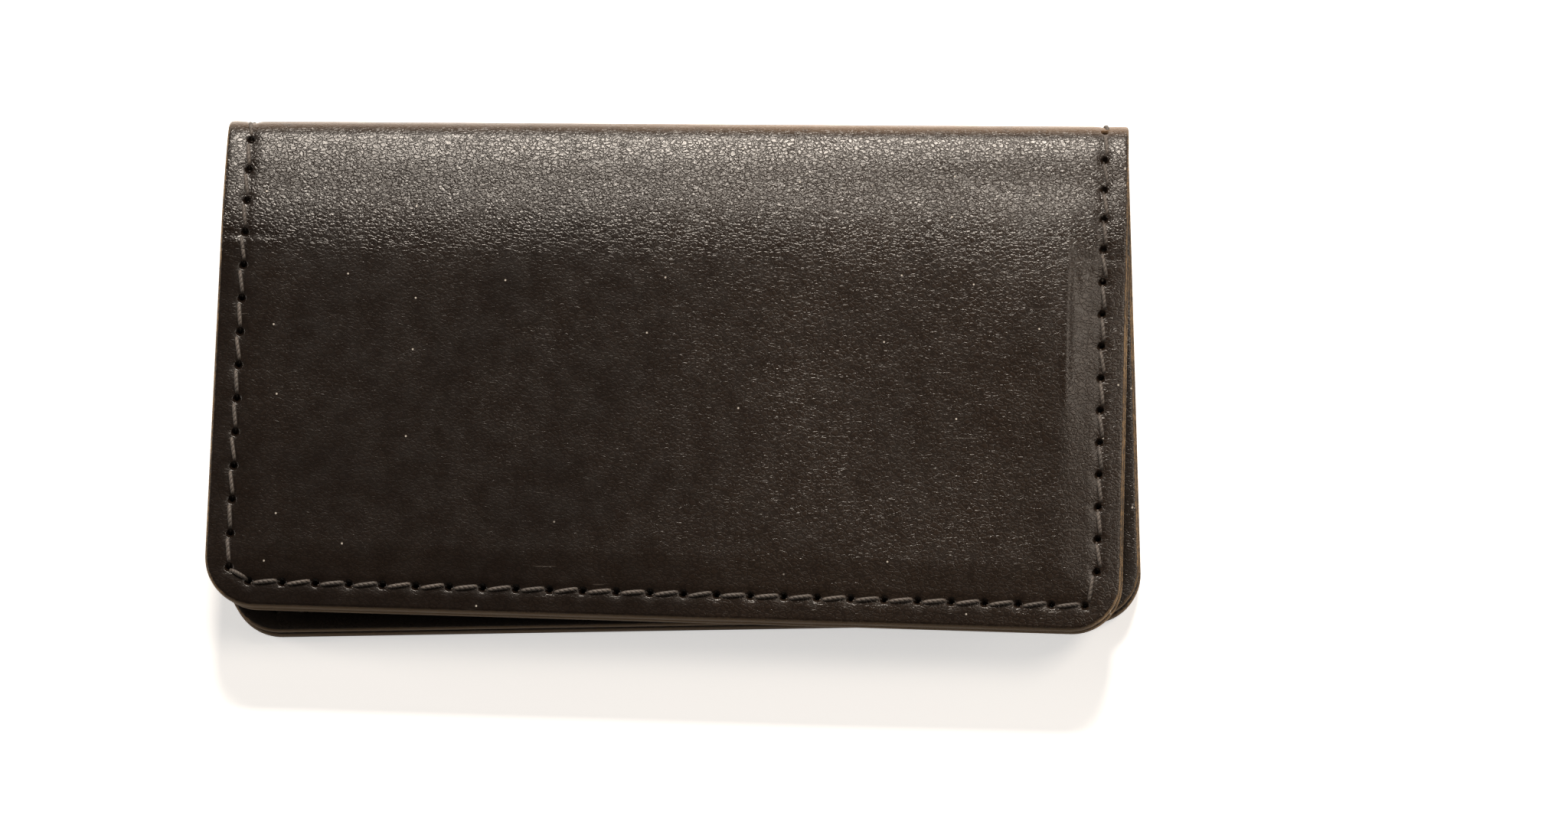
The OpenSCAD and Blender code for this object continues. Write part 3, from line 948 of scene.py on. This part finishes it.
def stitch_part(name, sheet, flat, low, high, face_depth, inner):
    """The part of the flat stitches between two distances across the fold, closed at its cuts and folded"""
    bm = bmesh.new()
    bm.from_mesh(flat)
    for at, sign in ((low, -1), (high, 1)):
        if abs(at) < sheet.REACH:
            cut = Vector((0, at / sheet.cos, 0))
            geometry = bm.verts[:] + bm.edges[:] + bm.faces[:]
            bmesh.ops.bisect_plane(bm, geom=geometry, dist=1e-6, plane_co=cut,
                                   plane_no=Vector((sheet.sin, sheet.cos, 0)) * sign, clear_outer=True)
            bmesh.ops.holes_fill(bm, edges=[e for e in bm.edges if e.is_boundary], sides=0)
    mesh = bpy.data.meshes.new(name)
    bm.to_mesh(mesh)
    bm.free()
    x, u, up = read(mesh.vertices, "co", 3).T
    depth = face_depth(x, u) + (up if inner else -up)
    mesh.vertices.foreach_set("co", sheet.folded(x, u, depth).ravel())
    if not inner:
        mesh.flip_normals()
    mesh.update()
    return mesh


# ---- operators ----


def laid_out():
    """The sheet, the settings of its stitching and its holes"""
    sheet, stitching = Sheet(settings("leather")), settings("stitching")
    return sheet, stitching, stitch_holes(sheet, stitching)


def carry(piece, zone, nodes):
    """Makes a piece follow its body, or fixes it where it lies when it spans two, and hides the CAD nodes
    it stands for
    """
    bodies, start, end = zone[3:6]
    if len(bodies) == 1:
        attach(piece, bodies[0])
    else:
        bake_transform(piece)
    if nodes:
        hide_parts(*nodes)


class CARDCASE_OT_cover(bpy.types.Operator):
    """Make the cover: one sheet of leather, parted where it bends"""

    bl_idname = "cardcase.cover"
    bl_label = "Cover"

    def execute(self, context):
        sheet, stitching, holes = laid_out()
        faces, hole_r = cover_faces(sheet, stitching, holes), stitching.hole_d / 2
        v = sheet.across(*holes.T)
        pieces = []
        for zone in sheet.zones():
            name, low, high = zone[:3]
            own = holes[(v > low) & (v < high)]
            loop = cover_loop(sheet, low, high, sheet.leather.fine)
            spots = clear_spots(sheet, sheet.inset, own, hole_r, (low, high))
            pieces.append(leather_piece(f"cover_{name}_skin", sheet, loop, faces, own, hole_r, spots,
                                        named_leather("dyed_cover")))
        shade_together(pieces)
        for piece, zone in zip(pieces, sheet.zones()):
            carry(piece, zone, [f"cover_{n}" for n in zone[6]])
        return {"FINISHED"}


class CARDCASE_OT_pockets(bpy.types.Operator):
    """Make the two pockets: formed leather, flat at its sewn margin and raised over the cards"""

    bl_idname = "cardcase.pockets"
    bl_label = "Pockets"

    def execute(self, context):
        sheet, stitching, holes = laid_out()
        leather, faces, hole_r = sheet.leather, pocket_faces(sheet, stitching, holes), stitching.hole_d / 2
        w, h, r, m = sheet.half_w, sheet.half_l, leather.corner_radius, leather.mouth_radius
        mouth = h - sheet.pocket_h
        # Which side of the sheet, how far over to the right, and how much shorter at its free edge
        for half, side, body, shift, trim in (("back", -1, "back_half", -0.3, 0.25),
                                              ("front", 1, "front_half", 0.28, 0.0)):
            radii = [r, r, m, m] if side < 0 else [m, m, r + trim, r + trim]
            u0, u1 = sorted((side * mouth, side * (h - trim)))
            x0, x1 = -w + shift + 0.1, w + shift
            where, way = outline(x0, x1, u0, u1, radii, leather.fine)

            def inside(x, u):
                nearest = np.minimum(np.minimum(x - x0, x1 - x), np.minimum(u - u0, u1 - u))
                return np.minimum(nearest, sheet.inset(x - shift, u) + 0.05)

            own = holes[holes[:, 1] * side > mouth + 1.2]
            spots = clear_spots(sheet, inside, own, hole_r, (-sheet.REACH, sheet.REACH))
            spots = spots[spots[:, 1] * side > 0]
            loop = where, way, np.ones(len(where), bool)
            piece = leather_piece(f"pocket_{half}_skin", sheet, loop, faces, own, hole_r, spots,
                                  named_leather("dyed_pocket"))
            shade_together([piece])
            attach(piece, body)
            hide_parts(f"pocket_{half}_panel", f"pocket_{half}_margin")
        return {"FINISHED"}


class CARDCASE_OT_stitching(bpy.types.Operator):
    """Sew the case: stitches on the outer face and on the inner one, parted where the cover is"""

    bl_idname = "cardcase.stitching"
    bl_label = "Stitching"

    def execute(self, context):
        sheet, stitching, holes = laid_out()
        finish = thread_finish(settings("finish"))
        flat = flat_stitches(stitching, holes, finish)
        outer, bare_inner = cover_faces(sheet, stitching, holes)
        _, pocket_inner = pocket_faces(sheet, stitching, holes)
        mouth = sheet.half_l - sheet.pocket_h

        def inner(x, u):
            share = ease(mouth - 0.4, mouth + 0.4, np.abs(u))
            return bare_inner(x, u) * (1 - share) + pocket_inner(x, u) * share

        for zone in sheet.zones():
            name, low, high = zone[:3]
            bm = bmesh.new()
            for depth, inside in ((outer, False), (inner, True)):
                part = stitch_part(f"thread_{name}", sheet, flat, low, high, depth, inside)
                bm.from_mesh(part)
                bpy.data.meshes.remove(part)
            mesh = bpy.data.meshes.new(f"stitches_{name}")
            bm.to_mesh(mesh)
            bm.free()
            mesh.polygons.foreach_set("use_smooth", [True] * len(mesh.polygons))
            mesh.materials.clear()
            mesh.materials.append(finish)
            mesh.update()
            carry(new_piece(f"stitches_{name}", mesh), zone, [f"thread_{n}" for n in zone[6]])
        return {"FINISHED"}


# Name, place and size in metres, power in watts, and tint
LIGHTS = (
    ("soft_box_behind", (0.02, 0.72, 0.56), (0.34, 0.15), 17.0, (1.0, 0.90, 0.79)),
    ("soft_box_right", (0.46, 0.22, 0.68), (0.26, 0.26), 1.9, (1.0, 0.87, 0.74)),
    ("soft_box_left", (-1.1, 0.1, 0.45), (0.6, 0.3), 4.5, (1.0, 0.92, 0.82)),
    ("soft_box_far_right", (1.1, -0.1, 0.45), (0.6, 0.3), 3.0, (1.0, 0.92, 0.82)),
    ("soft_box_front", (0.0, -1.1, 0.50), (0.9, 0.3), 0.3, (1.0, 0.92, 0.82)),
)
FLOOR_HALF = 1.5
CAMERA_TILT, CAMERA_SIDE, CAMERA_ROLL = (math.radians(a) for a in (12.8, 1.0, 0.6))
CAMERA_FAR = 0.815
AIM_RIGHT, AIM_UP = 0.01277, -0.00393  # from the case's middle
CAMERA_LENS = 157.0


class CARDCASE_OT_stage(bpy.types.Operator):
    """Set the case on a pale floor under soft light, with the camera nearly overhead"""

    bl_idname = "cardcase.stage"
    bl_label = "Stage"

    def execute(self, context):
        scene = context.scene
        mesh = bpy.data.meshes.new("floor")
        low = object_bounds()[0].z
        corners = [(x * FLOOR_HALF, y * FLOOR_HALF, low) for x, y in ((-1, -1), (1, -1), (1, 1), (-1, 1))]
        mesh.from_pydata(corners, [], [(0, 1, 2, 3)])
        mesh.materials.append(floor_finish(settings("finish")))
        floor = new_piece("floor", mesh)
        floor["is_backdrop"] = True

        world = scene.world or bpy.data.worlds.new("studio")
        scene.world = world
        world.use_nodes = True
        sky = world.node_tree.nodes["Background"].inputs
        sky[0].default_value = (1.0, 0.90, 0.80, 1)
        sky[1].default_value = 0.05
        scene.view_settings.view_transform = "Standard"

        for name, place, size, power, tint in LIGHTS:
            light = bpy.data.lights.new(name, "AREA")
            light.shape = "RECTANGLE"
            light.size, light.size_y = size
            light.energy = power
            light.color = tint
            lamp = new_piece(name, light)
            lamp.location = place
            lamp.rotation_euler = (-Vector(place)).to_track_quat("-Z", "Y").to_euler()

        middle = Vector((0, 0, (cad_box[0].z + cad_box[1].z) / 2))
        lean = math.cos(CAMERA_SIDE)
        toward = Vector((math.sin(CAMERA_SIDE), -math.sin(CAMERA_TILT) * lean,
                         math.cos(CAMERA_TILT) * lean))
        right = Vector((0, 1, 0)).cross(toward).normalized()
        up = toward.cross(right)
        roll = Matrix.Rotation(CAMERA_ROLL, 3, toward)
        right, up = roll @ right, roll @ up
        place = middle + CAMERA_FAR * toward
        aim = middle + AIM_RIGHT * right + AIM_UP * up
        back = (place - aim).normalized()
        right = up.cross(back).normalized()
        turn = Matrix((right, back.cross(right), back)).transposed()
        lens = bpy.data.cameras.new("camera")
        lens.sensor_width = 36
        lens.sensor_fit = "HORIZONTAL"
        lens.lens = CAMERA_LENS
        lens.clip_start = 0.05
        camera = new_piece("camera", lens)
        camera.matrix_world = Matrix.Translation(place) @ turn.to_4x4()
        scene.camera = camera
        return {"FINISHED"}


class CARDCASE_PT_panel(bpy.types.Panel):
    """The card case's settings and its steps"""

    bl_idname = "CARDCASE_PT_panel"
    bl_label = "Card Case"
    bl_space_type = "VIEW_3D"
    bl_region_type = "UI"
    bl_category = "Card Case"

    def draw(self, context):
        for group in ("leather", "stitching", "finish"):
            box = self.layout.box()
            box.label(text=group.capitalize())
            chosen = getattr(context.scene.card_case, group)
            for prop in fields(chosen):
                box.prop(chosen, prop.identifier)
        for step in STEPS:
            self.layout.operator(step.bl_idname)


STEPS = (CARDCASE_OT_cover, CARDCASE_OT_pockets, CARDCASE_OT_stitching, CARDCASE_OT_stage)
CLASSES = (CARDCASE_PG_leather, CARDCASE_PG_stitching, CARDCASE_PG_finish, CARDCASE_PG_settings,
           *STEPS, CARDCASE_PT_panel)


def register():
    for cls in CLASSES:
        bpy.utils.register_class(cls)
    bpy.types.Scene.card_case = PointerProperty(type=CARDCASE_PG_settings, name="Card case",
                                                description="Settings of the card case")


def unregister():
    del bpy.types.Scene.card_case
    for cls in reversed(CLASSES):
        bpy.utils.unregister_class(cls)


def main():
    """Builds the case step by step"""
    register()
    bpy.ops.cardcase.cover()
    bpy.ops.cardcase.pockets()
    bpy.ops.cardcase.stitching()
    bpy.ops.cardcase.stage()


if __name__ == "__main__":
    main()
